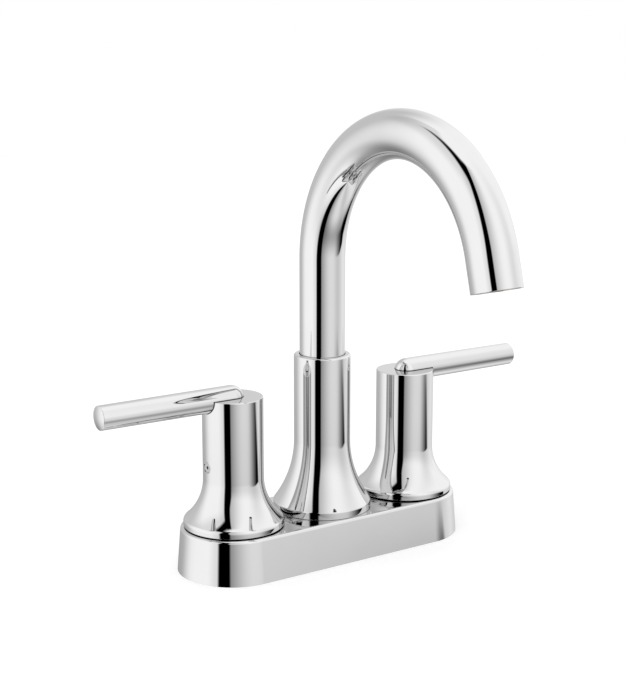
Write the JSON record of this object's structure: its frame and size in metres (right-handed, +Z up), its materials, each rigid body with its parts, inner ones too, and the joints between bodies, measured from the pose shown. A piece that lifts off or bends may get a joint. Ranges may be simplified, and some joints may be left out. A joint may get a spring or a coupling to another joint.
{
  "type": "centerset bathroom faucet",
  "caption": "Centerset bathroom faucet with a long oval base, lever handles, a flared hub and a high gooseneck spout that swivels.",
  "frame": {"origin": "on the deck plane under the base, midway between the two handles, on the spout's swivel axis", "axes": "+Z up along the swivel axis, -Y the way the spout reaches over the basin, the hot handle at -X and the cold handle at +X"},
  "size_m": [0.2406, 0.1635, 0.2701],
  "materials": {
    "polished_chrome": "bright polished chrome plate",
    "aerator_chrome": "chrome plate",
    "turned_brass": "turned, unplated",
    "copper_pipe": "plain copper alloy pipe",
    "fired_ceramic": "ground flat",
    "white_plastic": "moulded",
    "black_plastic": "moulded",
    "steel_washer": "pressed sheet",
    "screw_steel": "plain steel",
    "black_rubber": "moulded",
    "grey_foam": "closed-cell sheet"
  },
  "bodies": {
    "faucet_body": {"base_gasket": "grey_foam", "bonnet_nuts": "turned_brass", "cold_cartridge_housing": "white_plastic", "cold_cross_pipe": "copper_pipe", "cold_fixed_disc": "fired_ceramic", "cold_seat_seal": "black_rubber", "cold_valve_body": "turned_brass", "cover_lock_nuts": "turned_brass", "escutcheon": "polished_chrome", "hot_cartridge_housing": "white_plastic", "hot_cross_pipe": "copper_pipe", "hot_fixed_disc": "fired_ceramic", "hot_seat_seal": "black_rubber", "hot_valve_body": "turned_brass", "hub_nut": "turned_brass", "mounting_nuts": "black_plastic", "mounting_washers": "steel_washer", "spout_bushing": "white_plastic", "spout_foot_washer": "white_plastic", "spout_glide_ring": "white_plastic", "spout_hub": "polished_chrome", "spout_post": "turned_brass", "spout_seal_rings": "black_rubber", "spout_thrust_washer": "white_plastic"},
    "hot_lever_set": {"hot_handle": "polished_chrome", "hot_stem": "turned_brass", "hot_moving_disc": "fired_ceramic", "hot_stem_ring": "black_rubber", "hot_set_screw": "screw_steel"},
    "cold_lever_set": {"cold_handle": "polished_chrome", "cold_stem": "turned_brass", "cold_moving_disc": "fired_ceramic", "cold_stem_ring": "black_rubber", "cold_set_screw": "screw_steel"},
    "spout_set": {"spout_tube": "polished_chrome", "spout_collar": "turned_brass", "outlet_ring": "turned_brass", "aerator_housing": "aerator_chrome", "aerator_grid": "black_plastic", "mixing_chamber": "white_plastic", "flow_regulator": "white_plastic", "aerator_washer": "black_rubber"}
  },
  "joints": [
    {"name": "hot_turn", "type": "hinge", "parent": "faucet_body", "child": "hot_lever_set", "pos_m": [-0.0508, 0, 0.05], "axis": [0, 0, 1], "range_deg": [0, 90]},
    {"name": "cold_turn", "type": "hinge", "parent": "faucet_body", "child": "cold_lever_set", "pos_m": [0.0508, 0, 0.05], "axis": [0, 0, 1], "range_deg": [-90, 0]},
    {"name": "spout_swivel", "type": "hinge", "parent": "faucet_body", "child": "spout_set", "pos_m": [0, 0, 0.06], "axis": [0, 0, 1], "range_deg": [-60, 60]}
  ]
}
